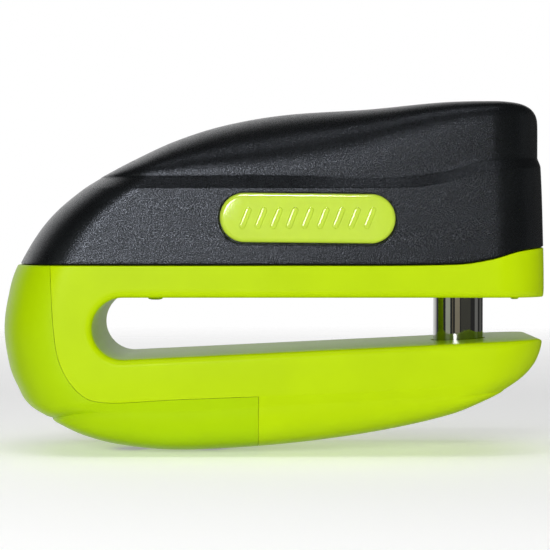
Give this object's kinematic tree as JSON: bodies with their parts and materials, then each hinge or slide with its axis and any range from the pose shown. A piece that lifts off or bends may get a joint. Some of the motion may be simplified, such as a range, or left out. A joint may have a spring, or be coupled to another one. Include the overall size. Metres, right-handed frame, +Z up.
{
  "type": "disc brake lock",
  "caption": "Push-to-lock motorcycle disc brake lock: slotted jaw in plastic casings, keyed plunger driving a steel pin across the slot.",
  "frame": {"origin": "the middle of the disc slot's flat ceiling, on the lock's middle plane, 28 mm behind the locking pin's axis", "axes": "+X out of the slot's mouth, +Y across the lock, +Z up along the locking pin, towards the keyed end"},
  "size_m": [0.1074, 0.0406, 0.0692],
  "materials": {
    "lime_plastic": "satin moulded",
    "lime_guard": "satin moulded",
    "lime_badge": "high gloss, domed",
    "black_plastic": "fine leather grain",
    "pin_steel": "polished",
    "jaw_steel": "hardened, oiled",
    "zinc": "die-cast zinc, satin",
    "screw_steel": "zinc plated",
    "spring_steel": "drawn wire",
    "brass": "machined",
    "seal_rubber": "moulded"
  },
  "bodies": {
    "casing": {"top_cover": "black_plastic", "body_casing": "lime_plastic", "heel_guard": "lime_guard", "badge_front": "lime_badge", "badge_rear": "lime_badge", "jaw_core": "jaw_steel", "pin_bush": "brass", "lock_housing": "zinc", "guide_pin": "screw_steel", "return_spring": "spring_steel", "cover_screw_1": "screw_steel", "housing_screw_1": "screw_steel", "guard_screw_1": "screw_steel", "cover_screw_2": "screw_steel", "housing_screw_2": "screw_steel", "guard_screw_2": "screw_steel"},
    "plunger": {"locking_pin": "pin_steel", "cross_pin": "screw_steel", "barrel": "zinc", "barrel_cap": "black_plastic", "barrel_seal": "seal_rubber", "latch_spring": "spring_steel"},
    "cylinder_plug": {"plug": "brass", "tail_cam": "screw_steel", "anti_drill_disc": "jaw_steel", "sidebar": "screw_steel", "detainer_disc_1": "brass", "detainer_disc_2": "brass", "detainer_disc_3": "brass", "detainer_disc_4": "brass", "detainer_disc_5": "brass", "disc_spacer_1": "screw_steel", "disc_spacer_2": "screw_steel", "disc_spacer_3": "screw_steel", "disc_spacer_4": "screw_steel"},
    "latch": {"latch_slug": "screw_steel"}
  },
  "joints": [
    {"name": "plunger_slide", "type": "slide", "parent": "casing", "child": "plunger", "axis": [0, 0, 1], "range_m": [0, 0.0152], "deforming": ["return_spring"]},
    {"name": "plug_turn", "type": "hinge", "parent": "plunger", "child": "cylinder_plug", "pos_m": [0.028, 0, 0.028], "axis": [0, 0, 1], "range_deg": [0, 90]},
    {"name": "latch_slide", "type": "slide", "parent": "plunger", "child": "latch", "axis": [-1, 0, 0], "range_m": [0, 0.0018], "deforming": ["latch_spring"]}
  ],
  "couplings": [
    {"joint": "latch_slide", "follows": "plug_turn", "m_per_rad": 0.0011459}
  ]
}
